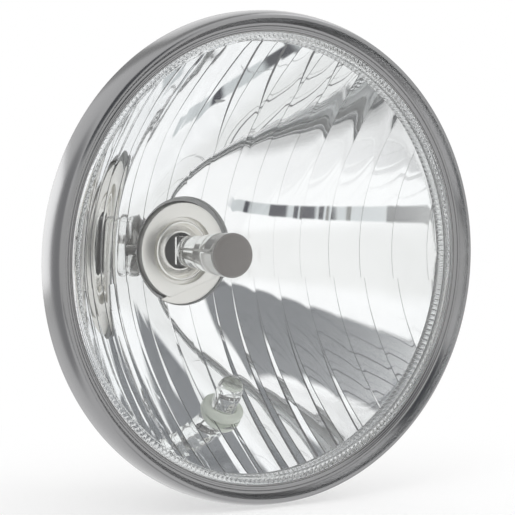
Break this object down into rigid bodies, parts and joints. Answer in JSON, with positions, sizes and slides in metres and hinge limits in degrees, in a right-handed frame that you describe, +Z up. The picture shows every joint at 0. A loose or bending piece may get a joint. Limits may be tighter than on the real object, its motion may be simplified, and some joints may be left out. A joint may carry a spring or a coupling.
{
  "type": "round motorcycle headlight",
  "caption": "Round headlight insert: rolled metal rim, clear ribbed lens, stepped mirror, main bulb with a painted tip and a small parking bulb.",
  "frame": {"origin": "centre of the rim skirt's rear edge, where the lamp seats in the headlamp shell", "axes": "-Y along the optical axis, the way the lamp shines; +Z up as fitted; +X to the right seen from the front"},
  "size_m": [0.184, 0.1061, 0.184],
  "materials": {
    "rim_metal": "satin",
    "seal_rubber": "matt",
    "clip_steel": "bright",
    "lens_clear": "clear polished",
    "glue": "satin",
    "mirror_coat": "mirror",
    "bulb_metal": "satin",
    "sleeve_metal": "bright",
    "bulb_clear": "clear",
    "tip_paint": "satin",
    "filament": "matt",
    "shield_metal": "satin",
    "lead_wire": "satin",
    "base_plastic": "matt",
    "blade_metal": "satin",
    "spring_wire": "bright",
    "plated_sheet": "satin",
    "screw_metal": "bright",
    "boot_rubber": "matt",
    "grommet_rubber": "satin translucent",
    "socket_plastic": "matt",
    "park_clear": "clear",
    "cap_rubber": "matt"
  },
  "bodies": {
    "root": {"rim": "rim_metal", "rim_seal": "seal_rubber", "rim_clips": "clip_steel", "lens": "lens_clear", "lens_glue": "glue", "reflector": "mirror_coat", "bulb_flange": "bulb_metal", "bulb_sleeve": "sleeve_metal", "bulb_glass": "bulb_clear", "bulb_tip_coat": "tip_paint", "dip_filament": "filament", "main_filament": "filament", "dip_shield": "shield_metal", "bulb_leads": "lead_wire", "bulb_base": "base_plastic", "bulb_blades": "blade_metal", "bulb_wire_clip": "spring_wire", "wire_clip_hinge": "plated_sheet", "wire_clip_catch": "plated_sheet", "clip_screws": "screw_metal", "dust_boot": "boot_rubber", "park_grommet": "grommet_rubber", "park_socket": "socket_plastic", "park_glass": "park_clear", "park_filament": "filament", "park_leads": "lead_wire", "park_contacts": "blade_metal", "vent_cap": "cap_rubber"}
  },
  "joints": []
}
